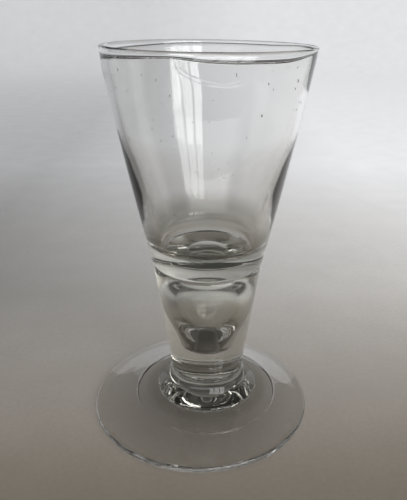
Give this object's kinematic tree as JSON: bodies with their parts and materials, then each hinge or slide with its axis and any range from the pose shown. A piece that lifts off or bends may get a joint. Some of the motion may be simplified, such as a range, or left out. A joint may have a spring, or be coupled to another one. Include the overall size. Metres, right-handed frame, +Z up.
{
  "type": "schnapps glass",
  "caption": "Small hand-blown drinking glass: conical bowl with a rounded lip and a thick base, solid tapering stem, collar, and a low conical foot with its rim folded under.",
  "frame": {"origin": "middle of the foot, on the surface that the glass stands on", "axes": "+Z up, from the foot to the lip; +X towards the side that the bowl leans off the middle of the foot; -Y towards the viewer of the picture"},
  "size_m": [0.0648, 0.0648, 0.105],
  "materials": {
    "glass": "clear old glass with a faint grey-green tint, small seeds and light scratches",
    "rough_glass": "broken and slightly ground glass"
  },
  "bodies": {
    "root": {"bowl": "glass", "stem": "glass", "collar": "glass", "foot": "glass", "foot_fold": "glass", "pontil_scar": "rough_glass"}
  },
  "joints": []
}
